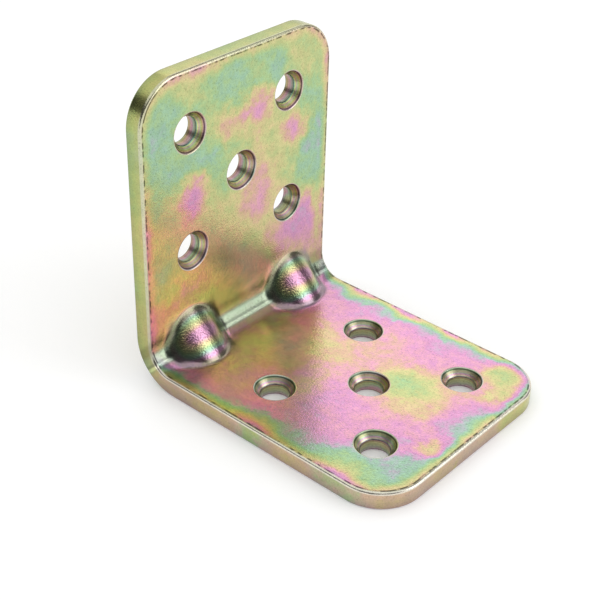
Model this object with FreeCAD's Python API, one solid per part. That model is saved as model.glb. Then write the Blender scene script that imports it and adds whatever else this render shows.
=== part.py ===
import FreeCAD, Part
import math
import os

# Reinforced angle bracket: one piece of steel strip, bent once to a right angle.
# Two gussets are pressed from the outside into the bend, side by side.
# Each leg has five countersunk screw holes, four in a rectangle and one in its middle.
# All sizes are millimetres and degrees.
# The base leg lies on Z = 0 and runs along X, and the wall leg stands up along Z.
# The width runs along Y. The origin is the middle of the footprint, on the floor.

# Strip and bend
leg_length = 50.0            # outside of the bend to the free end, the same on both legs
width = 41.0
thickness = 3.0
inner_bend_radius = 4.0
bend_thinning = 0.25         # the middle of the bend is this much thinner than the strip
corner_radius = 7.4          # the four free corners

# Screw holes, the same pattern on both legs
screw_hole_diameter = 4.5
countersink_diameter = 6.5
countersink_angle = 82.0
end_margin = 9.9             # free end of a leg to its outer row of holes
row_pitch = 19.8             # along the leg
column_pitch = 21.5          # across the leg

# Pressed gussets
gusset_margin = 2.5          # a side of the strip to the flank of the gusset beside it
gusset_wall_reach = 7.5      # from the inner corner up the wall leg
gusset_base_reach = 6.2      # from the inner corner out along the base leg
punch_radius = 3.6           # round nose of the pocket behind each gusset
gusset_thinning = 0.3        # the gusset's wall is this much thinner than the strip
gusset_flare = 13.0          # each flank leans out by this angle
gusset_foot_radius = 1.0     # concave blend into the legs
pocket_lip_radius = 0.7      # convex blend at the back, where the punch went in

# Edges
face_edge_radius = 0.4       # rolled edge round the screw side
back_edge_radius = 0.25      # edge round the mounting side and where the holes come out
rim_radius = 0.25            # round the mouth of each countersink

# Worked out from the sizes above
outer_bend_radius = inner_bend_radius + thickness + bend_thinning / (math.sqrt(2) - 1)
back_x = -leg_length / 2
free_x = leg_length / 2
half_width = width / 2
inner_x = back_x + thickness
inner_z = thickness
middle_row = leg_length - end_margin - row_pitch / 2
sink_slope = math.tan(math.radians(countersink_angle / 2))
countersink_depth = (countersink_diameter - screw_hole_diameter) / 2 / sink_slope
gusset_radius = punch_radius + thickness - gusset_thinning
gusset_middle = half_width - gusset_margin - gusset_radius

# Directions
along_base = FreeCAD.Vector(1, 0, 0)
across = FreeCAD.Vector(0, 1, 0)
up = FreeCAD.Vector(0, 0, 1)

# Square to the middle of the bend, towards the open side between the legs.
inward = (along_base + up).normalize()

# A gusset's nose is a cylinder. Its crest runs straight from the wall leg down to the base leg.
# These are its direction, the way it faces, and its axis's distance from the inner corner.
gusset_axis = (along_base * gusset_base_reach - up * gusset_wall_reach).normalize()
gusset_facing = (along_base * gusset_wall_reach + up * gusset_base_reach).normalize()
nose_offset = gusset_wall_reach * gusset_facing.z - gusset_radius

# Cutting and trimming shapes reach this far past what they have to cross.
overrun = 2 * (thickness + gusset_wall_reach)

# A point nearer than this to a skin lies on it.
touching = 1e-4


def leg_line(start, end):
    return Part.LineSegment(start, end).toShape()


def bend_outline(radius, x, z):
    """Down the wall leg, round the bend and out along the base, with its corner at (x, z)."""
    top = FreeCAD.Vector(x, -half_width, leg_length)
    wall_tangent = FreeCAD.Vector(x, -half_width, z + radius)
    base_tangent = FreeCAD.Vector(x + radius, -half_width, z)
    end = FreeCAD.Vector(free_x, -half_width, z)
    on_bend = FreeCAD.Vector(x + radius, -half_width, z + radius) - inward * radius
    bend = Part.Arc(wall_tangent, on_bend, base_tangent).toShape()
    return [leg_line(top, wall_tangent), bend, leg_line(base_tangent, end)]


def over_width(shape):
    return shape.extrude(across * width)


def closed_over_width(edges):
    return over_width(Part.Face(Part.Wire(Part.__sortEdges__(edges))))


def outer_outline():
    return bend_outline(outer_bend_radius, back_x, 0)


def inner_outline():
    return bend_outline(inner_bend_radius, inner_x, inner_z)


def outer_skin():
    return over_width(Part.Wire(outer_outline()))


def inner_skin():
    return over_width(Part.Wire(inner_outline()))


def bent_strip():
    outer = outer_outline()
    inner = inner_outline()
    top = leg_line(outer[0].firstVertex().Point, inner[0].firstVertex().Point)
    end = leg_line(outer[-1].lastVertex().Point, inner[-1].lastVertex().Point)
    return closed_over_width(outer + inner + [top, end])


def front_of_outer_faces():
    """Everything in front of the bracket's outer faces, which trims the gussets."""
    outer = outer_outline()
    far_corner = FreeCAD.Vector(free_x, -half_width, leg_length)
    top = leg_line(outer[0].firstVertex().Point, far_corner)
    end = leg_line(far_corner, outer[-1].lastVertex().Point)
    return closed_over_width(outer + [top, end])


def lies_on(skin, face):
    """True where the middle of a face touches a skin."""
    u_first, u_last, v_first, v_last = face.ParameterRange
    middle = face.valueAt((u_first + u_last) / 2, (v_first + v_last) / 2)
    return Part.Vertex(middle).distToShape(skin)[0] < touching


def borders(body, skin):
    """The edges where the faces that lie on a skin end."""
    found = []
    for edge in body.Edges:
        on_skin = [face for face in body.ancestorsOfType(edge, Part.Face) if lies_on(skin, face)]
        if len(on_skin) == 1:
            found.append(edge)
    return found


def round_corners(body):
    """The four free corners, seen square to each leg."""
    corners = []
    for edge in body.Edges:
        middle = edge.BoundBox.Center
        at_side = abs(abs(middle.y) - half_width) < touching
        at_free_end = max(middle.z - leg_length, middle.x - free_x) > -touching
        if at_side and at_free_end:
            corners.append(edge)
    return body.makeFillet(corner_radius, corners)


def round_edges(body):
    body = body.makeFillet(face_edge_radius, borders(body, inner_skin()))
    return body.makeFillet(back_edge_radius, borders(body, outer_skin()))


def gusset_form(y, radius):
    """A round-nosed, flared bar through the bend, along a gusset, at this place across the width."""
    flare = math.radians(gusset_flare)
    corner = FreeCAD.Vector(inner_x, y, inner_z)
    middle = corner + gusset_facing * nose_offset - gusset_axis * overrun
    tangent_side = radius * math.cos(flare)
    tangent_along = radius * math.sin(flare)
    foot_side = tangent_side + (overrun + tangent_along) * math.tan(flare)

    def at(side, along):
        return middle + across * side + gusset_facing * along

    nose = Part.Arc(at(-tangent_side, tangent_along), at(0, radius), at(tangent_side, tangent_along))
    outline = [
        nose.toShape(),
        leg_line(at(tangent_side, tangent_along), at(foot_side, -overrun)),
        leg_line(at(foot_side, -overrun), at(-foot_side, -overrun)),
        leg_line(at(-foot_side, -overrun), at(-tangent_side, tangent_along)),
    ]
    return Part.Face(Part.Wire(outline)).extrude(gusset_axis * (2 * overrun))


def press_gussets(body):
    places = (-gusset_middle, gusset_middle)
    trim = front_of_outer_faces()
    for y in places:
        form = gusset_form(y, gusset_radius)
        body = body.fuse(form.common(trim)).removeSplitter()
        body = body.makeFillet(gusset_foot_radius, borders(body, Part.Shell(form.Faces)))
    for y in places:
        form = gusset_form(y, punch_radius)
        body = body.cut(form)
        body = body.makeFillet(pocket_lip_radius, borders(body, Part.Shell(form.Faces)))
    return body


def screw_hole(mouth, drill):
    """One countersunk hole's cutter, from the middle of its mouth along the drilling direction."""
    start = mouth - drill * thickness
    through = Part.makeCylinder(screw_hole_diameter / 2, 3 * thickness, start, drill)
    sink = Part.makeCone(countersink_diameter / 2, screw_hole_diameter / 2, countersink_depth, mouth, drill)
    return through.fuse(sink)


def drill_leg(body, heel, along, drill):
    """The five holes of one leg. Its rows are counted from the heel, the outside of the bend."""
    rows = (middle_row - row_pitch / 2, middle_row + row_pitch / 2)
    columns = (-column_pitch / 2, column_pitch / 2)
    spots = [(row, column) for row in rows for column in columns]
    spots.append((middle_row, 0))
    for row, column in spots:
        body = body.cut(screw_hole(heel + along * row + across * column, drill))
    return body


def whole_circles(edges, diameter):
    found = []
    for edge in edges:
        round_edge = isinstance(edge.Curve, Part.Circle) and edge.isClosed()
        if round_edge and abs(2 * edge.Curve.Radius - diameter) < touching:
            found.append(edge)
    return found


def round_holes(body):
    mouths = whole_circles(borders(body, inner_skin()), countersink_diameter)
    body = body.makeFillet(rim_radius, mouths)
    exits = whole_circles(borders(body, outer_skin()), screw_hole_diameter)
    return body.makeFillet(back_edge_radius, exits)


def bracket():
    body = round_edges(round_corners(bent_strip()))
    body = press_gussets(body)
    body = drill_leg(body, FreeCAD.Vector(back_x, 0, inner_z), along_base, -up)
    body = drill_leg(body, FreeCAD.Vector(inner_x, 0, 0), up, -along_base)
    return round_holes(body)


os.makedirs("parts", exist_ok=True)
shape = bracket()
print("solids", len(shape.Solids), "valid", shape.isValid(), "volume", round(shape.Volume, 1))
shape.exportStep("parts/angle_bracket.step")
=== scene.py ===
import math
from types import SimpleNamespace

import bmesh
import bpy
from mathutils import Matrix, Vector
from mathutils.geometry import delaunay_2d_cdt


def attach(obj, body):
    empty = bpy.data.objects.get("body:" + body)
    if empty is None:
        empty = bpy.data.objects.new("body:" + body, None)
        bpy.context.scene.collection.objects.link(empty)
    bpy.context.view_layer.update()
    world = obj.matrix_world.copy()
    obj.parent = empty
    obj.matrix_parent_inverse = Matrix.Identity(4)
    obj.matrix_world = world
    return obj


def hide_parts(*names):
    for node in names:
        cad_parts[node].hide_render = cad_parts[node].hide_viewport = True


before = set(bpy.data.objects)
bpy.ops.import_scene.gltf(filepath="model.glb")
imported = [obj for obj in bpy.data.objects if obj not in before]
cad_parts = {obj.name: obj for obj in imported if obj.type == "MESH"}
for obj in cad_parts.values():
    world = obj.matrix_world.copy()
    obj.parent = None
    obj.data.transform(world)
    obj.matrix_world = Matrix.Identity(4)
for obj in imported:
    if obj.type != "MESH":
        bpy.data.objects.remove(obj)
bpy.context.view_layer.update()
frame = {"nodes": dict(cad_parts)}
print("frame loaded, nodes:", ", ".join(frame["nodes"]))

mm = 0.001               # sizes below are millimetres, unless a note says otherwise
root2 = math.sqrt(2)
mergeDistance = 0.002    # points nearer than this become one


# Helpers for node trees

class Wire:
    # One socket of a node tree. Arithmetic on it adds Math nodes.
    def __init__(self, tree, socket):
        self.tree = tree
        self.socket = socket

    def math(self, operation, *others):
        node = self.tree.nodes.new("ShaderNodeMath")
        node.operation = operation
        for value, socket in zip((self, *others), node.inputs):
            plug(self.tree, value, socket)
        return Wire(self.tree, node.outputs[0])

    def vector(self, operation, *others, result="Vector"):
        node = self.tree.nodes.new("ShaderNodeVectorMath")
        node.operation = operation
        if operation == "SCALE":
            plug(self.tree, self, node.inputs[0])
            plug(self.tree, others[0], node.inputs["Scale"])
        else:
            for value, socket in zip((self, *others), node.inputs):
                plug(self.tree, value, socket)
        return Wire(self.tree, node.outputs[result])

    def length(self):
        return self.vector("LENGTH", result="Value")

    def parts(self):
        node = self.tree.nodes.new("ShaderNodeSeparateXYZ")
        plug(self.tree, self, node.inputs[0])
        return [Wire(self.tree, output) for output in node.outputs]

    def fade(self, start, end, low=0.0, high=1.0, smooth=True):
        node = self.tree.nodes.new("ShaderNodeMapRange")
        node.interpolation_type = "SMOOTHSTEP" if smooth else "LINEAR"
        names = ("Value", "From Min", "From Max", "To Min", "To Max")
        for name, value in zip(names, (self, start, end, low, high)):
            plug(self.tree, value, node.inputs[name])
        return Wire(self.tree, node.outputs["Result"])

    def near(self, middle, gone, full):
        # 1 up to the distance "full" from the middle, and 0 from the distance "gone" on.
        return abs(self - middle).fade(gone, full)

    def leftOver(self):
        return self * -1.0 + 1.0

    def __add__(self, other):
        return self.math("ADD", other)

    def __sub__(self, other):
        return self.math("SUBTRACT", other)

    def __mul__(self, other):
        return self.math("MULTIPLY", other)

    def __truediv__(self, other):
        return self.math("DIVIDE", other)

    def __abs__(self):
        return self.math("ABSOLUTE")

    def __neg__(self):
        return self * -1.0


def plug(tree, value, socket):
    if isinstance(value, Wire):
        tree.links.new(value.socket, socket)
    else:
        socket.default_value = value


def joined(tree, *values):
    node = tree.nodes.new("ShaderNodeCombineXYZ")
    for value, socket in zip(values, node.inputs):
        plug(tree, value, socket)
    return Wire(tree, node.outputs[0])


# The strip, laid flat: s runs along it, 0 in the middle of the bend, and y across it.

strip = {
    "legLength": 50.0,
    "width": 41.0,
    "thickness": 3.0,
    "insideBend": 4.0,
    "bendThinning": 0.25,     # the middle of the bend is this much thinner
    "cornerRadius": 7.4,
    "faceEdge": 0.4,          # rolled edge round the screw side
    "backEdge": 0.25,
    "burrInset": 0.5,         # fine groove beside the rolled edge
    "burrDepth": 0.03,
    "formedReach": 13.0,      # a leg is flat past this distance from the heel
    "formedLength": 10.4,     # and that stretch is this long in the flat strip
    "rowStep": 0.24,          # mesh steps: rows in the formed stretch, the straight sides,
    "sideStep": 1.0,          # the corners, the flat faces, and round a rolled edge
    "cornerSteps": 28,
    "pointStep": 1.3,
    "edgeSteps": 4,
    "hold": 0.06,             # flat ring that keeps a face's shading flat up to its edge
}
strip["half"] = strip["width"] / 2
strip["outsideBend"] = strip["insideBend"] + strip["thickness"] + strip["bendThinning"] / (root2 - 1)
strip["flatEnd"] = strip["formedLength"] + strip["legLength"] - strip["formedReach"]

holes = {
    "radius": 2.25,
    "mouthRadius": 3.25,
    "sinkHalfAngle": math.radians(41.0),
    "rim": 0.25,              # round at the mouth and at the exit
    "seatRound": 0.12,        # where the countersink meets the drilled wall
    "endMargin": 9.9,         # free end of a leg to its outer row
    "rowHalf": 9.9,
    "columnHalf": 10.75,
    "segments": 72,
}
holes["middle"] = strip["flatEnd"] - holes["endMargin"] - holes["rowHalf"]

gussets = {
    "middle": 11.5,
    "offset": -0.2,           # both stand this much off the strip's middle
    "wallReach": 7.5,         # from the inner corner to the end of the crest
    "baseReach": 6.2,
    "crown": 0.15,            # the crest bulges this much at its middle
    "noseRadius": 6.2,
    "noseFlank": math.radians(60.0),     # steepest slope of the gusset's flanks
    "noseCrestBlend": 0.75,
    "noseFootBlend": 3.0,
    "punchRadius": 3.6,
    "punchFlank": math.radians(72.0),
    "punchBlend": 0.9,
    "steepPlaces": (5.9, 3.4),           # middle of the flanks, of the nose and of the punch
    "steepReach": 0.9,        # the mesh has its finest columns this far round them
    "fineColumn": 0.13,
    "columnGrowth": 0.2,      # added to a column one millimetre further out
}


def roundSteps(steps, turn=math.pi / 2):
    return [turn * step / steps for step in range(1, steps + 1)]


def edgeProfile():
    # Inset and height round the strip's edge, from the screw side to the mounting side.
    t, face, back, hold = strip["thickness"], strip["faceEdge"], strip["backEdge"], strip["hold"]
    burr, deep = strip["burrInset"], strip["burrDepth"]
    profile = [(burr + 2 * hold, t), (burr + hold, t), (burr, t - deep), (burr - hold, t), (face, t)]
    for angle in roundSteps(strip["edgeSteps"]):
        profile.append((face - face * math.sin(angle), t - face + face * math.cos(angle)))
    profile += [(0, t - face - hold), (0, t / 2), (0, back + hold), (0, back)]
    for angle in roundSteps(strip["edgeSteps"]):
        profile.append((back - back * math.cos(angle), back - back * math.sin(angle)))
    profile.append((back + hold, 0))
    return profile


def stretched(start, end, step):
    count = max(1, round(abs(end - start) / step))
    return [start + (end - start) * i / count for i in range(count + 1)]


def legOutline():
    # Round the free half of a leg, as (along, across, normal along, normal across).
    half, radius, end = strip["half"], strip["cornerRadius"], strip["flatEnd"]
    side = stretched(strip["formedLength"], end - radius, strip["sideStep"])
    freeEnd = stretched(radius - half, half - radius, strip["sideStep"])
    points = [(s, -half, 0, -1) for s in side]
    for sign, start in ((-1, -math.pi / 2), (1, 0.0)):
        for turn in roundSteps(strip["cornerSteps"]):
            c, s = math.cos(start + turn), math.sin(start + turn)
            points.append((end - radius + radius * c, sign * (half - radius) + radius * s, c, s))
        if sign < 0:
            points += [(end, y, 1, 0) for y in freeEnd[1:]]
    points += [(s, half, 0, 1) for s in reversed(side[:-1])]
    return points


def acrossPlaces(inset):
    # Columns across the strip, close together where the gussets' and the pockets' flanks are steep.
    y, places = 0.0, [0.0]
    while y < strip["half"] - inset:
        fromMiddle = abs(y - gussets["middle"])
        away = min(abs(fromMiddle - steep) for steep in gussets["steepPlaces"])
        growth = min(1.0, max(0.0, away - gussets["steepReach"]))
        y += gussets["fineColumn"] + gussets["columnGrowth"] * growth
        places.append(y)
    scale = (strip["half"] - inset) / places[-1]
    right = [y * scale for y in places]
    return [-y for y in reversed(right[1:])] + right


def holeSpots():
    row, column, middle = holes["rowHalf"], holes["columnHalf"], holes["middle"]
    return [(middle + i * row, j * column) for i in (-1, 1) for j in (-1, 1)] + [(middle, 0.0)]


def circle(centre, radius):
    count = holes["segments"]
    angles = [2 * math.pi * i / count for i in range(count)]
    return [(centre[0] + radius * math.cos(a), centre[1] + radius * math.sin(a)) for a in angles]


def facePoints(inset, holeRadius):
    # Points inside one face of a leg, staggered row by row, clear of its border and its holes.
    step, radius = strip["pointStep"], strip["cornerRadius"] - inset
    margin, rowStep, cornerMargin, holeMargin = (share * step for share in (0.6, 0.866, 0.5, 0.4))
    half = strip["half"] - inset
    rows = stretched(strip["formedLength"] + step, strip["flatEnd"] - inset - margin, rowStep)
    points = []
    for i, s in enumerate(rows):
        for y in stretched(margin - half, half - margin, step):
            y += (i % 2) * step / 2
            dx = s - (strip["flatEnd"] - strip["cornerRadius"])
            dy = abs(y) - (strip["half"] - strip["cornerRadius"])
            inCorner = min(dx, dy) > 0 and math.hypot(dx, dy) > radius - cornerMargin
            if inCorner or abs(y) > half - cornerMargin:
                continue
            if min(math.hypot(s - a, y - b) for a, b in holeSpots()) > holeRadius + holeMargin:
                points.append(Vector((s, y)))
    return points


def legSkin(inset, holeRadius, columns):
    # Triangles of one face of a leg, round its five openings.
    outline = [(s - ns * inset, y - ny * inset) for s, y, ns, ny in legOutline()]
    outline += [(strip["formedLength"], y) for y in reversed(columns[1:-1])]
    loops = [outline] + [circle(spot, holeRadius) for spot in holeSpots()]
    points, edges = [], []
    for loop in loops:
        first, count = len(points), len(loop)
        points += [Vector(p) for p in loop]
        edges += [(first + i, first + (i + 1) % count) for i in range(count)]
    points += facePoints(inset, holeRadius)
    made = delaunay_2d_cdt(points, edges, [], 0, 1e-6)
    places, triangles = made[0], made[2]
    kept = []
    for triangle in triangles:
        middle = sum((places[i] for i in triangle), Vector((0, 0))) / 3
        if min((middle - Vector(spot)).length for spot in holeSpots()) > holeRadius:
            kept.append(tuple(triangle))
    return [(p.x, p.y) for p in places], kept


def flatStrip():
    verts, faces = [], []

    def add(newVerts, newFaces):
        first = len(verts)
        verts.extend(newVerts)
        faces.extend(tuple(first + i for i in face) for face in newFaces)

    # The two faces: a fine grid over the stretch that is formed, and a skin over each leg.
    profile, holeWall = edgeProfile(), holeProfile()
    rows = stretched(-strip["formedLength"], strip["formedLength"], strip["rowStep"])
    for end in (0, -1):
        border, opening, front = profile[end], holeWall[end], end == 0
        height = border[1]
        columns = acrossPlaces(border[0])
        n = len(columns)
        corners = [i * n + j for i in range(len(rows) - 1) for j in range(n - 1)]
        quads = [(a, a + n, a + n + 1, a + 1) for a in corners]
        add([(s, y, height) for s in rows for y in columns], quads if front else [q[::-1] for q in quads])
        places, triangles = legSkin(border[0], opening[0], columns)
        for mirror in (1, -1):
            turned = triangles if (mirror > 0) == front else [tri[::-1] for tri in triangles]
            add([(mirror * s, y, height) for s, y in places], turned)

    # The edge, all round, with the profile carried from the screw side to the mounting side.
    leg = legOutline()
    loop = [(s, -strip["half"], 0, -1) for s in rows[:-1]] + leg
    loop += [(s, strip["half"], 0, 1) for s in reversed(rows[1:-1])]
    loop += [(-s, y, -ns, ny) for s, y, ns, ny in reversed(leg)]
    ring = [(s - ns * inset, y - ny * inset, height) for inset, height in profile for s, y, ns, ny in loop]
    add(ring, ringQuads(len(profile), len(loop)))
    print("strip laid out, faces:", len(faces))
    return verts, faces


def ringQuads(rings, count):
    quads = []
    for k in range(rings - 1):
        for i in range(count):
            j = (i + 1) % count
            quads.append((k * count + i, (k + 1) * count + i, (k + 1) * count + j, k * count + j))
    return quads


def holeProfile():
    # Radius and height down one countersunk hole, between the flats round its two mouths.
    t, hold = strip["thickness"], strip["hold"]
    r, mouth, rim = holes["radius"], holes["mouthRadius"], holes["rim"]
    slope = math.pi / 2 - holes["sinkHalfAngle"]        # below level
    run = rim * math.tan(slope / 2)
    profile = [(mouth + run + 2 * hold, t), (mouth + run, t)]
    for angle in roundSteps(strip["edgeSteps"], slope):
        profile.append((mouth + run - rim * math.sin(angle), t - rim * (1 - math.cos(angle))))
    seat = t - (mouth - r) * math.tan(slope)
    seatRun = holes["seatRound"]
    top = (r + seatRun * math.cos(slope), seat + seatRun * math.sin(slope))
    last = profile[-1]
    for share in (0.06, 0.5, 0.94):       # down the countersink
        profile.append((last[0] + (top[0] - last[0]) * share, last[1] + (top[1] - last[1]) * share))
    profile += [top, (r + 0.03 * seatRun, seat - 0.1 * seatRun), (r, seat - 0.7 * seatRun)]
    profile += [(r, seat - seatRun - hold), (r, (seat + rim) / 2), (r, rim + hold), (r, rim)]
    for angle in roundSteps(strip["edgeSteps"]):
        profile.append((r + rim * (1 - math.cos(angle)), rim - rim * math.sin(angle)))
    profile.append((r + rim + hold, 0))
    return profile


def holeCup():
    profile = holeProfile()
    verts = [(x, y, height) for radius, height in profile for x, y in circle((0, 0), radius)]
    return verts, [quad[::-1] for quad in ringQuads(len(profile), holes["segments"])]


def meshObject(name, verts, faces):
    mesh = bpy.data.meshes.new(name)
    mesh.from_pydata([Vector(v) * mm for v in verts], [], faces)
    thing = bpy.data.objects.new(name, mesh)
    bpy.context.scene.collection.objects.link(thing)
    return thing


# Forming: the flat strip gets its holes, is bent, and has its gussets pressed in.

formingInputs = {
    "Thickness": strip["thickness"] * mm,
    "Inside bend radius": strip["insideBend"] * mm,
    "Outside bend radius": strip["outsideBend"] * mm,
    "Formed reach": strip["formedReach"] * mm,
    "Formed length": strip["formedLength"] * mm,
    "Heel": -strip["legLength"] / 2 * mm,
    "Hole row pitch": 2 * holes["rowHalf"] * mm,
    "Hole column pitch": 2 * holes["columnHalf"] * mm,
    "Hole middle": holes["middle"] * mm,
    "Gusset middle": gussets["middle"] * mm,
    "Gusset offset": gussets["offset"] * mm,
    "Gusset wall reach": gussets["wallReach"] * mm,
    "Gusset base reach": gussets["baseReach"] * mm,
    "Gusset crown": gussets["crown"] * mm,
    "Gusset radius": gussets["noseRadius"] * mm,
    "Gusset flank": gussets["noseFlank"],
    "Gusset crest blend": gussets["noseCrestBlend"] * mm,
    "Gusset foot blend": gussets["noseFootBlend"] * mm,
    "Punch radius": gussets["punchRadius"] * mm,
    "Punch flank": gussets["punchFlank"],
    "Punch lip blend": gussets["punchBlend"] * mm,
}


def folded(length, side, radius, corner, given):
    # A skin of the bend: place across the corner and place inward from the heel,
    # for a length of flat strip.
    arc = radius * (math.pi / 4)
    straight = given["Formed reach"] - corner - radius
    share = arc / (arc + straight)
    part = length / given["Formed length"]
    angle = (part / share).math("MINIMUM", 1.0) * (math.pi / 4)
    run = ((part - share).math("MAXIMUM", 0.0) / share.leftOver()).math("MINIMUM", 1.0) * straight
    run = (run + (length - given["Formed length"]).math("MAXIMUM", 0.0)) / root2
    acrossCorner = (radius * angle.math("SINE") + run) * side
    inward = (radius + corner) * root2 - radius * angle.math("COSINE") + run
    return acrossCorner, inward


def pressed(inward, across, y, radius, flank, crestBlend, footBlend, given):
    # The skin where it rides over a round nose, with a straight flank at each side.
    # The nose's crest runs from the wall to the base, and bulges a little at its middle.
    fromMiddle = abs(abs(y - given["Gusset offset"]) - given["Gusset middle"])
    wallReach, baseReach = given["Gusset wall reach"], given["Gusset base reach"]
    reaches = wallReach + baseReach
    crest = wallReach * baseReach * root2 / reaches + across * (baseReach - wallReach) / reaches
    fromCentre = across * root2 / baseReach
    crest = crest + given["Gusset crown"] * (fromCentre * fromCentre).leftOver()
    noseMiddle = given["Thickness"] * root2 + crest - given["Gusset radius"]
    limit = radius * flank.math("SINE")
    onNose = fromMiddle.math("MINIMUM", limit)
    nose = noseMiddle + (radius * radius - onNose * onNose).math("SQRT")
    nose = nose - (fromMiddle - limit).math("MAXIMUM", 0.0) * flank.math("TANGENT")
    blend = crestBlend + (footBlend - crestBlend) * fromMiddle.fade(limit / 4, limit)
    return inward.math("SMOOTH_MAX", nose, blend)


def screwHoles(tree, cup, given):
    # Five screw holes a leg: four at the corners of a grid and one in its middle.
    nodes, links = tree.nodes, tree.links
    grid = nodes.new("GeometryNodeMeshGrid")
    grid.inputs["Vertices X"].default_value = 2
    grid.inputs["Vertices Y"].default_value = 2
    plug(tree, given["Hole row pitch"], grid.inputs["Size X"])
    plug(tree, given["Hole column pitch"], grid.inputs["Size Y"])
    centre = nodes.new("GeometryNodeMeshLine")
    centre.inputs["Count"].default_value = 1
    five = nodes.new("GeometryNodeJoinGeometry")
    links.new(grid.outputs["Mesh"], five.inputs[0])
    links.new(centre.outputs["Mesh"], five.inputs[0])
    spots = nodes.new("GeometryNodeJoinGeometry")
    for side in (1.0, -1.0):
        place = nodes.new("GeometryNodeTransform")
        links.new(five.outputs[0], place.inputs["Geometry"])
        plug(tree, joined(tree, given["Hole middle"] * side, 0.0, 0.0), place.inputs["Translation"])
        links.new(place.outputs[0], spots.inputs[0])
    cupInfo = nodes.new("GeometryNodeObjectInfo")
    cupInfo.inputs["Object"].default_value = cup
    onSpots = nodes.new("GeometryNodeInstanceOnPoints")
    links.new(spots.outputs[0], onSpots.inputs["Points"])
    links.new(cupInfo.outputs["Geometry"], onSpots.inputs["Instance"])
    realCups = nodes.new("GeometryNodeRealizeInstances")
    links.new(onSpots.outputs[0], realCups.inputs[0])
    return realCups


def stored(tree, geometry, name, kind, value):
    # Keeps a value on the points for the material.
    node = tree.nodes.new("GeometryNodeStoreNamedAttribute")
    node.data_type = kind
    node.domain = "POINT"
    node.inputs["Name"].default_value = name
    tree.links.new(geometry.outputs[0], node.inputs["Geometry"])
    plug(tree, value, node.inputs["Value"])
    return node


def formingTree(material, cup):
    tree = bpy.data.node_groups.new("Form the bracket", "GeometryNodeTree")
    face = tree.interface
    face.new_socket("Geometry", in_out="INPUT", socket_type="NodeSocketGeometry")
    for name in formingInputs:
        face.new_socket(name, in_out="INPUT", socket_type="NodeSocketFloat")
    face.new_socket("Geometry", in_out="OUTPUT", socket_type="NodeSocketGeometry")
    nodes, links = tree.nodes, tree.links
    entry = nodes.new("NodeGroupInput")
    given = {name: Wire(tree, entry.outputs[name]) for name in formingInputs}

    whole = nodes.new("GeometryNodeJoinGeometry")
    links.new(entry.outputs["Geometry"], whole.inputs[0])
    links.new(screwHoles(tree, cup, given).outputs[0], whole.inputs[0])
    merged = nodes.new("GeometryNodeMergeByDistance")
    merged.inputs["Distance"].default_value = mergeDistance * mm
    links.new(whole.outputs[0], merged.inputs["Geometry"])

    # Each skin is bent and pressed, and a point between them takes its share of both.
    place = Wire(tree, nodes.new("GeometryNodeInputPosition").outputs[0])
    s, y, height = place.parts()
    length, side = abs(s), s.math("SIGN")
    thick = given["Thickness"]
    frontAcross, frontIn = folded(length, side, given["Inside bend radius"], thick, given)
    backAcross, backIn = folded(length, side, given["Outside bend radius"], 0.0, given)
    frontPressed = pressed(frontIn, frontAcross, y, given["Gusset radius"], given["Gusset flank"],
                           given["Gusset crest blend"], given["Gusset foot blend"], given)
    backPressed = pressed(backIn, backAcross, y, given["Punch radius"], given["Punch flank"],
                          given["Punch lip blend"], given["Punch lip blend"], given)
    share = height / thick
    backRise = backPressed - backIn
    rise = backRise + ((frontPressed - frontIn) - backRise) * share
    across = backAcross + (frontAcross - backAcross) * share
    inward = backPressed + (frontPressed - backPressed) * share

    flatStored = stored(tree, merged, "flat", "FLOAT_VECTOR", place)
    riseStored = stored(tree, flatStored, "pressed", "FLOAT", rise)
    move = nodes.new("GeometryNodeSetPosition")
    links.new(riseStored.outputs[0], move.inputs["Geometry"])
    x, z = given["Heel"] + (inward + across) / root2, (inward - across) / root2
    plug(tree, joined(tree, x, y, z), move.inputs["Position"])
    smooth = nodes.new("GeometryNodeSetShadeSmooth")
    links.new(move.outputs[0], smooth.inputs["Geometry"])
    real = nodes.new("GeometryNodeRealizeInstances")
    links.new(smooth.outputs[0], real.inputs[0])
    finish = nodes.new("GeometryNodeSetMaterial")
    finish.inputs["Material"].default_value = material
    links.new(real.outputs[0], finish.inputs["Geometry"])
    leave = nodes.new("NodeGroupOutput")
    links.new(finish.outputs[0], leave.inputs[0])
    return tree


def formedBracket(material):
    blank = meshObject("flatStrip", *flatStrip())
    work = bmesh.new()
    work.from_mesh(blank.data)
    bmesh.ops.remove_doubles(work, verts=work.verts, dist=mergeDistance * mm)
    work.to_mesh(blank.data)
    work.free()
    cup = meshObject("holeCup", *holeCup())
    tree = formingTree(material, cup)
    forming = blank.modifiers.new("Forming", "NODES")
    forming.node_group = tree
    for item in tree.interface.items_tree:
        if item.in_out == "INPUT" and item.name in formingInputs:
            forming[item.identifier] = formingInputs[item.name]
    finished = blank.evaluated_get(bpy.context.evaluated_depsgraph_get())
    formed = bpy.data.meshes.new_from_object(finished)
    formed.name = "formedBracket"
    for helper in (blank, cup):
        bpy.data.objects.remove(helper)
    bracket = bpy.data.objects.new("formed_bracket", formed)
    bpy.context.scene.collection.objects.link(bracket)
    return bracket


# Finish: zinc plate under a thin passivation film, whose colour goes round with its thickness.

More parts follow.
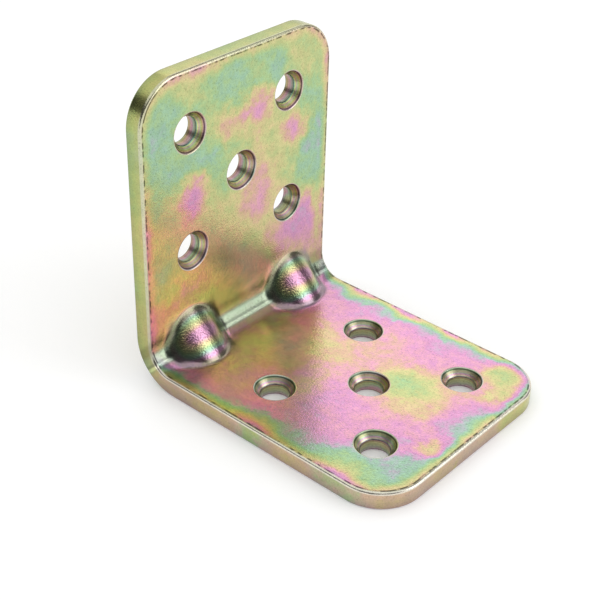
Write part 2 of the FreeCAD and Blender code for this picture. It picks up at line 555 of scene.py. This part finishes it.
film = {
    "colours": [                # place in one turn of colour, and the colour there
        (0.00, (0.36, 0.61, 0.42)),
        (0.14, (0.43, 0.64, 0.29)),
        (0.27, (0.60, 0.65, 0.26)),
        (0.39, (0.77, 0.66, 0.30)),
        (0.51, (0.80, 0.50, 0.34)),
        (0.63, (0.86, 0.40, 0.54)),
        (0.75, (0.78, 0.33, 0.62)),
        (0.84, (0.66, 0.42, 0.60)),
        (0.92, (0.44, 0.54, 0.52)),
        (1.00, (0.36, 0.61, 0.42)),
    ],
    "wall": 0.33,               # thickness that a leg starts from, in turns
    "base": 0.64,
    "slowSize": 13.0,           # slow change over a leg
    "slowShift": 0.30,
    "cloudSize": 3.0,
    "cloudShift": 0.62,
    "cloudDetail": 7.0,
    "cloudRoughness": 0.68,
    "fineSize": 0.35,
    "fineShift": 0.05,
    "warpSize": 4.2,            # wander of the patches below
    "warp": 4.2,
    "patchSpread": 1.35,
    "wallEdge": -0.12,          # towards the outline of the strip
    "baseEdge": 0.58,
    "edgeFade": 2.8,
    "edgeStart": (0.0, 0.5),
    "rimTurns": 0.26,           # in the last two millimetres before the outline
    "rimReach": (2.4, 0.6),
    "rimStart": (0.0, 0.4),
    "holeTurns": 0.5,           # for each millimetre down a hole
    "turnedTurns": 0.7,         # with the rings that the drill left
    "grey": (0.56, 0.60, 0.52),         # what every colour leans to
    "greyShare": 0.12,
}
crest = {
    "turns": 0.72,              # at the middle of a gusset's crest, and a whole turn less at its ends
    "shift": 0.75,              # of that middle along the crest
    "halfLength": 2.75,
    "halfWidth": 4.8,
    "wobbleSize": 1.5,
    "wobble": 0.25,
    "turnReach": (0.25, 1.38),
    "grey": (0.62, 0.60, 0.55),
    "greyShare": 0.10,
}
# Colours for some places, with the share that each takes from the film. Some are painted shade and painted
# highlight, as noted beside them.
places = {
    "channel": (0.34, 0.47, 0.37),      # pale along the middle of the bend
    "channelMiddle": -0.55,
    "channelReach": (1.6, 0.9),
    "channelShare": 0.8,
    "foot": (0.24, 0.37, 0.28),         # painted shade round the feet of the gussets
    "footShadeShare": 0.5,
    "rollHighlight": (0.86, 0.82, 0.70),         # painted highlight along the rolled edge
    "rollHighlightShare": (0.5, 0.85),           # on the wall and on the base
    "sides": [                  # share of the thickness, and the colour there
        (0.00, (0.16, 0.15, 0.09)),
        (0.12, (0.32, 0.36, 0.12)),
        (0.45, (0.44, 0.48, 0.12)),
        (0.75, (0.54, 0.50, 0.16)),
        (0.92, (0.54, 0.52, 0.20)),
    ],
    "sidesShare": 0.6,
    # down a hole: gold cone and drilled wall colours, with painted shade lines at the exit, the seat and
    # the mouth, and painted highlight rings at the foot of the countersink and on the rim
    "holes": [
        (0.00, (0.24, 0.22, 0.16)),
        (0.08, (0.06, 0.06, 0.04)),
        (0.13, (0.30, 0.23, 0.14)),
        (0.35, (0.38, 0.27, 0.19)),
        (0.48, (0.24, 0.30, 0.15)),
        (0.56, (0.26, 0.20, 0.13)),
        (0.60, (0.05, 0.05, 0.04)),
        (0.64, (0.24, 0.50, 0.52)),
        (0.69, (0.66, 0.70, 0.20)),
        (0.74, (0.62, 0.32, 0.52)),
        (0.79, (0.36, 0.62, 0.26)),
        (0.85, (0.78, 0.70, 0.24)),
        (0.90, (0.22, 0.18, 0.10)),
        (0.945, (0.04, 0.04, 0.03)),
        (0.99, (0.80, 0.80, 0.66)),
    ],
    "holesShare": 0.6,
}
# Places where the film is thicker or thinner: across, distance from the heel, radius, turns.
patches = {
    "wall": [
        (-17.0, 42.0, 8.0, -0.30), (-1.0, 46.0, 8.0, -0.28), (8.0, 43.0, 5.0, -0.26),
        (3.5, 40.0, 4.5, 0.46), (-2.5, 39.5, 4.0, 0.26), (-10.0, 34.5, 5.5, -0.40),
        (-10.0, 30.0, 4.5, 0.50), (14.5, 38.5, 5.0, -0.26), (13.0, 34.0, 4.2, 0.48),
        (18.0, 30.0, 6.0, -0.26), (18.0, 21.0, 6.0, -0.28), (4.0, 25.0, 6.0, 0.26),
        (0.0, 22.0, 6.0, 0.08), (-1.0, 14.0, 8.0, -0.10), (-13.0, 12.0, 7.0, 0.22),
        (10.0, 14.0, 7.0, 0.24), (15.5, 17.0, 5.5, 0.44), (-18.5, 18.0, 6.0, -0.20),
        (0.0, 36.5, 4.0, -0.10), (-17.0, 33.0, 6.0, -0.20), (15.0, 47.0, 5.0, -0.05),
        (-4.0, 31.0, 6.0, -0.22), (16.5, 34.0, 6.0, -0.14), (-6.0, 42.0, 5.0, -0.16),
        (16.0, 9.0, 6.0, 0.24),
    ],
    "base": [
        (1.0, 12.0, 8.5, -0.37), (-13.0, 11.0, 7.0, -0.12), (-5.0, 16.0, 4.5, -0.10),
        (19.5, 13.0, 4.0, 0.42), (19.8, 22.0, 3.0, 0.42), (20.4, 32.0, 2.5, 0.35),
        (19.8, 40.0, 3.5, 0.30), (3.0, 38.0, 8.0, -0.28), (4.0, 34.0, 4.5, -0.26),
        (9.0, 26.0, 8.0, -0.12), (3.0, 21.0, 5.0, -0.10), (-6.0, 29.0, 3.5, 0.06),
        (-14.0, 29.0, 5.0, 0.06), (-19.0, 24.0, 4.0, 0.45), (-18.0, 40.0, 6.0, 0.40),
        (-12.0, 45.5, 4.5, 0.18), (2.0, 47.0, 5.0, 0.05), (10.0, 47.5, 4.0, -0.38),
        (17.0, 46.0, 6.5, -0.55), (-5.5, 46.0, 3.5, -0.40), (-6.5, 23.0, 4.5, -0.12),
    ],
}
# Where each feature fades in and out, in millimetres of the skin's rise, of height in the strip,
# or of distance in from the outline.
features = {
    "gussetRise": (0.4, 1.5),
    "gussetHeight": (1.0, 2.0),         # only on the screw side
    "footStart": (0.0, 0.3),
    "footEnd": (1.6, 0.6),
    "levelEnd": (0.1, 1.1),             # where the bend is no longer level beside a gusset
    "holeClear": (0.28, 0.12),          # outside the drilled wall, and outside the mouth
    "holeBorder": 0.12,
    "sinkFoot": 1.6,
    "sideInset": (0.42, 0.12),
    "sideBelow": (0.02, 0.2),           # below the screw side, and so are the two after it
    "rollBelow": (0.5, 0.35),
    "faceBelow": (0.25, 0.05),
    "rollInset": (0.44, 0.36),
    "legBlend": 3.0,                    # the legs' own values meet over this, from the bend's middle
    "drillStep": 0.24,
}
# Wear, grain, roughness and bumps, with the painted shade and painted highlight noted beside their entries.
wearAndShade = {
    # painted shade: the upright wall leg is toned darker than the base leg
    "wallShadeTone": 0.82,
    "baseShadeTone": 0.90,
    "mottleSize": 1.6,
    "mottle": 0.25,
    "grainSize": 0.26,
    "grain": 0.5,
    "speckTone": 0.72,          # of the darkest grains
    "specks": (0.30, 0.36),
    "burrDark": 0.75,           # in the groove beside the rolled edge
    "burrHalves": (0.20, 0.06),
    "burrGapSize": 1.1,         # the dark line is broken by gaps
    "burrGaps": (0.42, 0.56),
    "bendShadeTone": 0.84,           # painted shade in the bend, and 1 from the end of its reach on
    "bendShadeReach": (3.0, 20.0),
    "drillRings": 2.2,
    "holeLight": 0.06,
    "mouthShadeRing": (2.8, 0.13, 0.05),     # height of a painted shade ring in the countersink, and its halves
    "mouthShade": 0.55,
    # painted shade round the feet of the gussets
    "footShade": 0.15,
    "bendShadeAndHighlightLines": [              # painted shade bands and a painted highlight line along the bend: place across the bend, half-widths to none and to full, darkening (below 0 it lightens)
        (-2.5, 1.3, 0.4, 0.32),
        (0.25, 0.38, 0.12, -0.7),
        (-0.3, 0.30, 0.1, 0.25),
    ],
    "roughness": 0.21,
    "roughnessSize": 2.4,
    "roughnessShift": 0.10,
    "polishRise": (0.4, 2.5),   # a gusset is smoother where the skin has risen by this
    "polish": 0.08,
    "holeRoughness": 0.12,
    "bumpDepth": 0.05,
    "grainBump": 0.25,
    "pitSize": 0.34,
    "pitBump": 0.32,
    "gussetPitSize": 0.27,
    "gussetPitRise": (0.5, 2.5),
    "gussetPitBump": 1.25,
}


def noise(tree, place, size, detail=3.0, roughness=0.5, result="Fac"):
    node = tree.nodes.new("ShaderNodeTexNoise")
    plug(tree, place, node.inputs["Vector"])
    node.inputs["Scale"].default_value = 1.0 / size
    node.inputs["Detail"].default_value = detail
    node.inputs["Roughness"].default_value = roughness
    return Wire(tree, node.outputs[result])


def ramp(tree, value, stops):
    node = tree.nodes.new("ShaderNodeValToRGB")
    plug(tree, value, node.inputs[0])
    elements = node.color_ramp.elements
    while len(elements) < len(stops):
        elements.new(0.5)
    for element, (place, colour) in zip(elements, stops):
        element.position = place
        element.color = (*colour, 1.0)
    return Wire(tree, node.outputs[0])


def mixed(tree, share, first, second):
    node = tree.nodes.new("ShaderNodeMix")
    node.data_type = "RGBA"
    plug(tree, share, node.inputs["Factor"])
    for value, name in ((first, "A"), (second, "B")):
        socket = [s for s in node.inputs if s.name == name and s.type == "RGBA"][0]
        plug(tree, value if isinstance(value, Wire) else (*value, 1.0), socket)
    return Wire(tree, [s for s in node.outputs if s.type == "RGBA"][0])


def attribute(tree, name, output):
    node = tree.nodes.new("ShaderNodeAttribute")
    node.attribute_name = name
    return Wire(tree, node.outputs[output])


def byLeg(at, wall, base):
    # One value on the wall leg and one on the base leg, blended round the bend.
    return at.s.fade(-features["legBlend"], features["legBlend"], wall, base)


def surfacePlaces(tree):
    # Where a point lies, in millimetres, and how far it is on each feature, from 0 to 1.
    at = SimpleNamespace()
    at.place = Wire(tree, tree.nodes.new("ShaderNodeTexCoord").outputs["Object"]).vector("SCALE", 1 / mm)
    at.s, at.y, at.height = attribute(tree, "flat", "Vector").vector("SCALE", 1 / mm).parts()
    at.press = attribute(tree, "pressed", "Fac") * (1 / mm)
    x, z = at.place.parts()[::2]
    at.across = (x - z + strip["legLength"] / 2) / root2

    # Distance in from the strip's outline, and distance out from the nearest hole's axis.
    qx = abs(at.s) - (strip["flatEnd"] - strip["cornerRadius"])
    qy = abs(at.y) - (strip["half"] - strip["cornerRadius"])
    outside = joined(tree, qx.math("MAXIMUM", 0.0), qy.math("MAXIMUM", 0.0), 0.0).length()
    at.edge = -(outside + qx.math("MAXIMUM", qy).math("MINIMUM", 0.0)) + strip["cornerRadius"]
    fromRow = abs(at.s) - holes["middle"]
    corner = joined(tree, abs(fromRow) - holes["rowHalf"], abs(at.y) - holes["columnHalf"], 0.0)
    fromHole = corner.length().math("MINIMUM", joined(tree, fromRow, at.y, 0.0).length())

    below = -at.height + strip["thickness"]
    at.onGusset = at.press.fade(*features["gussetRise"]) * at.height.fade(*features["gussetHeight"])
    at.foot = at.press.fade(*features["footStart"]) * at.press.fade(*features["footEnd"])
    at.level = at.press.fade(*features["levelEnd"]).leftOver()
    drilled = holes["radius"] + features["holeClear"][0]
    mouth = holes["mouthRadius"] + features["holeClear"][1]
    holeWall = at.height.fade(features["sinkFoot"], strip["thickness"], drilled, mouth, smooth=False)
    at.inHole = (fromHole - holeWall).fade(0.0, -features["holeBorder"])
    at.onSide = at.edge.fade(*features["sideInset"]) * below.fade(*features["sideBelow"])
    at.onRoll = at.edge.fade(*features["rollInset"]) * below.fade(*features["rollBelow"])
    at.onFace = below.fade(*features["faceBelow"])
    rings = noise(tree, joined(tree, at.height, 0.0, 0.0), features["drillStep"], 2.0, 0.6)
    at.turned = rings - 0.5       # fine rings that the drill left
    return at


def patchGroup():
    tree = bpy.data.node_groups.new("Film patch", "ShaderNodeTree")
    for name, kind in (("Place", "NodeSocketVector"), ("Centre", "NodeSocketVector"),
                       ("Radius", "NodeSocketFloat"), ("Turns", "NodeSocketFloat")):
        tree.interface.new_socket(name, in_out="INPUT", socket_type=kind)
    tree.interface.new_socket("Turns", in_out="OUTPUT", socket_type="NodeSocketFloat")
    entry, leave = tree.nodes.new("NodeGroupInput"), tree.nodes.new("NodeGroupOutput")
    place, centre, radius, turns = [Wire(tree, entry.outputs[i]) for i in range(4)]
    distance = place.vector("DISTANCE", centre, result="Value")
    plug(tree, distance.fade(radius, 0.0) * turns, leave.inputs[0])
    return tree


def filmTurns(tree, at):
    # Thickness of the film, in turns of colour.
    turns = (noise(tree, at.place, film["slowSize"], 1.0) - 0.5) * film["slowShift"]
    clouds = noise(tree, at.place, film["cloudSize"], film["cloudDetail"], film["cloudRoughness"])
    turns = turns + (clouds - 0.5) * film["cloudShift"]
    turns = turns + byLeg(at, film["wall"], film["base"])
    wander = noise(tree, at.place, film["warpSize"], 4.0, 0.6, result="Color")
    wander = wander.vector("SUBTRACT", (0.5, 0.5, 0.5)).vector("SCALE", 2 * film["warp"])
    warped = joined(tree, at.y, at.s, 0.0).vector("ADD", wander)
    group = patchGroup()
    for leg, spots in patches.items():
        for across, fromHeel, radius, shift in spots:
            along = (fromHeel - strip["formedReach"] + strip["formedLength"]) * (-1 if leg == "wall" else 1)
            node = tree.nodes.new("ShaderNodeGroup")
            node.node_tree = group
            plug(tree, warped, node.inputs["Place"])
            node.inputs["Centre"].default_value = (across, along, 0.0)
            node.inputs["Radius"].default_value = radius * film["patchSpread"]
            node.inputs["Turns"].default_value = shift
            turns = turns + Wire(tree, node.outputs[0])
    fromEdge = (at.edge / -film["edgeFade"]).math("EXPONENT") * at.edge.fade(*film["edgeStart"])
    turns = turns + fromEdge * byLeg(at, film["wallEdge"], film["baseEdge"])
    rim = at.edge.fade(*film["rimReach"]) * at.edge.fade(*film["rimStart"])
    turns = turns + rim * film["rimTurns"]
    turns = turns + at.inHole * (at.height * film["holeTurns"] + at.turned * film["turnedTurns"])
    return turns + (noise(tree, at.place, film["fineSize"], 2.0) - 0.5) * film["fineShift"]


def crestTurns(tree, at):
    # The film over a gusset's crest, one whole turn of colour from its middle to its ends.
    along = (at.across + crest["shift"]) / crest["halfLength"]
    aside = (abs(at.y - gussets["offset"]) - gussets["middle"]) / crest["halfWidth"]
    fromCrown = joined(tree, along, aside * aside, 0.0).length()
    fromCrown = fromCrown + (noise(tree, at.place, crest["wobbleSize"], 3.0) - 0.5) * crest["wobble"]
    return fromCrown.fade(*crest["turnReach"], crest["turns"] + 1.0, crest["turns"], smooth=False)


def filmColour(tree, at):
    colour = ramp(tree, filmTurns(tree, at).math("FRACT"), film["colours"])
    onCrest = ramp(tree, crestTurns(tree, at).math("FRACT"), film["colours"])
    onCrest = mixed(tree, crest["greyShare"], onCrest, crest["grey"])
    colour = mixed(tree, at.onGusset, colour, onCrest)
    colour = mixed(tree, film["greyShare"], colour, film["grey"])
    channel = at.across.near(places["channelMiddle"], *places["channelReach"]) * at.level
    colour = mixed(tree, channel * places["channelShare"], colour, places["channel"])
    # painted shade round the feet of the gussets
    colour = mixed(tree, at.foot * places["footShadeShare"], colour, places["foot"])
    depth = at.height / strip["thickness"]
    colour = mixed(tree, at.onSide * places["sidesShare"], colour, ramp(tree, depth, places["sides"]))
    # painted highlight along the rolled edge
    colour = mixed(tree, at.onRoll * byLeg(at, *places["rollHighlightShare"]), colour, places["rollHighlight"])
    # hole colours, with painted shade lines and painted highlight rings
    return mixed(tree, at.inHole * places["holesShare"], colour, ramp(tree, depth, places["holes"]))


def wearAndShadeTone(tree, at, grain):
    # A mottled tone, dark grains, the dark line in the groove beside the rolled edge and the drill's dark
    # rings, with painted shade: the wall darker than the base, darker in the bend, round the gussets' feet
    # and in a ring in the countersink, and bands along the bend with a painted highlight line.
    tone = (noise(tree, at.place, wearAndShade["mottleSize"], 4.0, 0.6) - 0.5) * wearAndShade["mottle"]
    # painted shade: the wall leg darker than the base leg
    tone = tone + byLeg(at, wearAndShade["wallShadeTone"], wearAndShade["baseShadeTone"])
    tone = tone * ((grain - 0.5) * wearAndShade["grain"] + 1.0)
    tone = tone * grain.fade(*wearAndShade["specks"], wearAndShade["speckTone"], 1.0)
    burr = at.edge.near(strip["burrInset"], *wearAndShade["burrHalves"])
    burr = burr * noise(tree, at.place, wearAndShade["burrGapSize"], 2.0).fade(*wearAndShade["burrGaps"])
    tone = tone * (burr * at.onFace * wearAndShade["burrDark"]).leftOver()
    # painted shade, darker towards the bend
    tone = tone * abs(at.s).fade(*wearAndShade["bendShadeReach"], wearAndShade["bendShadeTone"], 1.0)
    tone = tone * (at.inHole * (at.turned * wearAndShade["drillRings"] + wearAndShade["holeLight"]) + 1.0)
    # painted shade ring near the mouth of each countersink
    tone = tone * (at.inHole * at.height.near(*wearAndShade["mouthShadeRing"]) * wearAndShade["mouthShade"]).leftOver()
    # painted shade round the feet of the gussets
    tone = tone * (at.foot * wearAndShade["footShade"]).leftOver()
    # painted shade bands and a painted highlight line along the bend
    bendShadeAndHighlight = [at.across.near(middle, gone, full) * dark for middle, gone, full, dark in wearAndShade["bendShadeAndHighlightLines"]]
    return tone * (sum(bendShadeAndHighlight[1:], bendShadeAndHighlight[0]) * at.level).leftOver()


def chromatedSteel():
    material = bpy.data.materials.new("chromatedSteel")
    material.use_nodes = True
    tree = material.node_tree
    shader = tree.nodes["Principled BSDF"]
    shader.inputs["Metallic"].default_value = 1.0
    at = surfacePlaces(tree)
    grain = noise(tree, at.place, wearAndShade["grainSize"], 2.0, 0.6)
    toned = filmColour(tree, at).vector("SCALE", wearAndShadeTone(tree, at, grain))
    plug(tree, toned, shader.inputs["Base Color"])

    rough = (noise(tree, at.place, wearAndShade["roughnessSize"], 3.0) - 0.5) * wearAndShade["roughnessShift"]
    rough = rough + wearAndShade["roughness"] - at.press.fade(*wearAndShade["polishRise"], 0.0, wearAndShade["polish"])
    plug(tree, rough + at.inHole * wearAndShade["holeRoughness"], shader.inputs["Roughness"])

    pits = noise(tree, at.place, wearAndShade["pitSize"], 2.0, 0.6) * wearAndShade["pitBump"]
    gussetBump = at.press.fade(*wearAndShade["gussetPitRise"], 0.0, wearAndShade["gussetPitBump"])
    pits = pits + noise(tree, at.place, wearAndShade["gussetPitSize"], 2.0) * gussetBump
    bump = tree.nodes.new("ShaderNodeBump")
    bump.inputs["Distance"].default_value = wearAndShade["bumpDepth"] * mm
    bump.inputs["Strength"].default_value = 1.0
    plug(tree, grain * wearAndShade["grainBump"] + pits, bump.inputs["Height"])
    tree.links.new(bump.outputs[0], shader.inputs["Normal"])
    return material


# Studio

studio = {
    "floorColour": (0.95, 0.95, 0.95),
    "floorRoughness": 0.9,
    "floorGlow": 0.09,
    "floorHalf": 2000.0,
    "keyPower": 0.62,             # softbox: watts, and metres
    "keyPlace": (0.49, 0.26, 0.23),
    "keyWidth": 0.32,
    "keyHeight": 0.44,
}
# Cloths and panels that only reflections see, on a ball round the studio. Azimuths are radians from
# +X, and heights are shares of the radius. Pairs are where a border starts and ends, and threes are
# a middle with the half-widths to none and to full.
cloths = {
    "radius": 0.7,                # metres
    "segments": 64,
    "dark": 0.06,
    "bright": 1.35,
    "frontSides": ((0.08, -0.08), (-2.9, -2.5)),
    "frontTop": (0.74, 0.62),
    "frontFoot": ((-0.72, -1.12, 0.27, -0.1), (-1.5, -1.62, 0.0, 0.37)),    # dips between them
    "frontBorder": (-0.06, 0.04),
    "post": (1.12, 0.34, 0.22),
    "postTop": (0.59, 0.52),
    "postShare": 0.85,
    "above": (1.6, 1.0, 0.7),
    "aboveFoot": (0.68, 0.74),
    "aboveTop": (0.95, 0.88),
    "aboveShare": 0.65,
    "bar": (0.87, 1.0, 0.8),
    "barHeight": (0.64, 0.045, 0.02),
    "panel": (2.3, 0.5, 0.25),
    "panelHeight": (0.54, 0.25, 0.12),
}
# The photo's camera, fitted to the bracket's edges and holes.
camera = {
    "place": (0.10037834, -0.12747757, 0.12047259),
    "turn": (57.13931, -1.321243, 41.577735),      # degrees
    "lens": 76.4286,
    "sensor": 36.0,
}


def whiteWorld():
    world = bpy.data.worlds.new("studioWorld")
    bpy.context.scene.world = world
    world.use_nodes = True
    background = world.node_tree.nodes["Background"]
    background.inputs["Color"].default_value = (1, 1, 1, 1)
    background.inputs["Strength"].default_value = 1.0


def shownRays(tree):
    # 1 for rays that should see the white background: from the camera, or mirrored or refracted.
    light = tree.nodes.new("ShaderNodeLightPath")
    seen = Wire(tree, light.outputs["Is Camera Ray"])
    seen = seen.math("MAXIMUM", Wire(tree, light.outputs["Is Glossy Ray"]))
    return seen.math("MAXIMUM", Wire(tree, light.outputs["Is Transmission Ray"]))


def paleFloor():
    reach = studio["floorHalf"]
    corners = [(-reach, -reach, 0), (reach, -reach, 0), (reach, reach, 0), (-reach, reach, 0)]
    floor = meshObject("studioFloor", corners, [(0, 1, 2, 3)])
    material = bpy.data.materials.new("floorPaint")
    material.use_nodes = True
    tree = material.node_tree
    shader = tree.nodes["Principled BSDF"]
    shader.inputs["Base Color"].default_value = (*studio["floorColour"], 1)
    shader.inputs["Roughness"].default_value = studio["floorRoughness"]
    shader.inputs["Specular IOR Level"].default_value = 0.0
    shader.inputs["Emission Color"].default_value = (1, 1, 1, 1)
    plug(tree, shownRays(tree) * studio["floorGlow"], shader.inputs["Emission Strength"])
    floor.data.materials.append(material)


def clothMaterial():
    material = bpy.data.materials.new("flagCloth")
    material.use_nodes = True
    tree = material.node_tree
    tree.nodes.remove(tree.nodes["Principled BSDF"])
    place = Wire(tree, tree.nodes.new("ShaderNodeTexCoord").outputs["Object"])
    x, y, z = place.vector("NORMALIZE").parts()
    azimuth = y.math("ARCTAN2", x)
    right, left = cloths["frontSides"]
    down, up = cloths["frontFoot"]
    lowest = azimuth.fade(*down) + azimuth.fade(*up)
    front = azimuth.fade(*right) * azimuth.fade(*left) * z.fade(*cloths["frontTop"])
    front = front * (z - lowest).fade(*cloths["frontBorder"])
    post = azimuth.near(*cloths["post"]) * z.fade(*cloths["postTop"]) * cloths["postShare"]
    above = azimuth.near(*cloths["above"]) * z.fade(*cloths["aboveFoot"]) * z.fade(*cloths["aboveTop"])
    bar = azimuth.near(*cloths["bar"]) * z.near(*cloths["barHeight"])
    panel = azimuth.near(*cloths["panel"]) * z.near(*cloths["panelHeight"])
    lit = bar.math("MAXIMUM", panel)
    cover = front.math("MAXIMUM", post).math("MAXIMUM", above * cloths["aboveShare"]).math("MAXIMUM", lit)
    clear = tree.nodes.new("ShaderNodeBsdfTransparent")
    cloth = tree.nodes.new("ShaderNodeEmission")
    cloth.inputs["Color"].default_value = (1, 1, 1, 1)
    plug(tree, lit.fade(0.0, 1.0, cloths["dark"], cloths["bright"]), cloth.inputs["Strength"])
    mix = tree.nodes.new("ShaderNodeMixShader")
    plug(tree, cover, mix.inputs[0])
    tree.links.new(clear.outputs[0], mix.inputs[1])
    tree.links.new(cloth.outputs[0], mix.inputs[2])
    tree.links.new(mix.outputs[0], tree.nodes["Material Output"].inputs["Surface"])
    return material


def darkFlag():
    ball = bpy.data.meshes.new("studioFlag")
    work = bmesh.new()
    segments = cloths["segments"]
    bmesh.ops.create_uvsphere(work, u_segments=segments, v_segments=segments // 2, radius=cloths["radius"])
    work.to_mesh(ball)
    work.free()
    ball.materials.append(clothMaterial())
    flag = bpy.data.objects.new("studioFlag", ball)
    bpy.context.scene.collection.objects.link(flag)
    flag.visible_camera = False
    flag.visible_diffuse = False
    flag.visible_transmission = False
    flag.visible_volume_scatter = False
    flag.visible_shadow = False


def keyLamp():
    lamp = bpy.data.lights.new("softbox", "AREA")
    lamp.energy = studio["keyPower"]
    lamp.shape = "RECTANGLE"
    lamp.size = studio["keyWidth"]
    lamp.size_y = studio["keyHeight"]
    thing = bpy.data.objects.new("softbox", lamp)
    thing.location = studio["keyPlace"]
    thing.rotation_euler = (-Vector(studio["keyPlace"])).to_track_quat("-Z", "Y").to_euler()
    bpy.context.scene.collection.objects.link(thing)


def photoCamera():
    lens = bpy.data.cameras.new("photoCamera")
    lens.sensor_width = camera["sensor"]
    lens.lens = camera["lens"]
    thing = bpy.data.objects.new("photoCamera", lens)
    thing.location = camera["place"]
    thing.rotation_euler = [math.radians(angle) for angle in camera["turn"]]
    bpy.context.scene.collection.objects.link(thing)
    bpy.context.scene.camera = thing


whiteWorld()
paleFloor()
darkFlag()
keyLamp()
photoCamera()
bpy.context.scene.view_settings.view_transform = "Standard"
print("studio ready")

steel = chromatedSteel()
print("finish ready, nodes:", len(steel.node_tree.nodes))

bracket = formedBracket(steel)
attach(bracket, "root")
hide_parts("angle_bracket")
print("bracket formed, faces:", len(bracket.data.polygons))
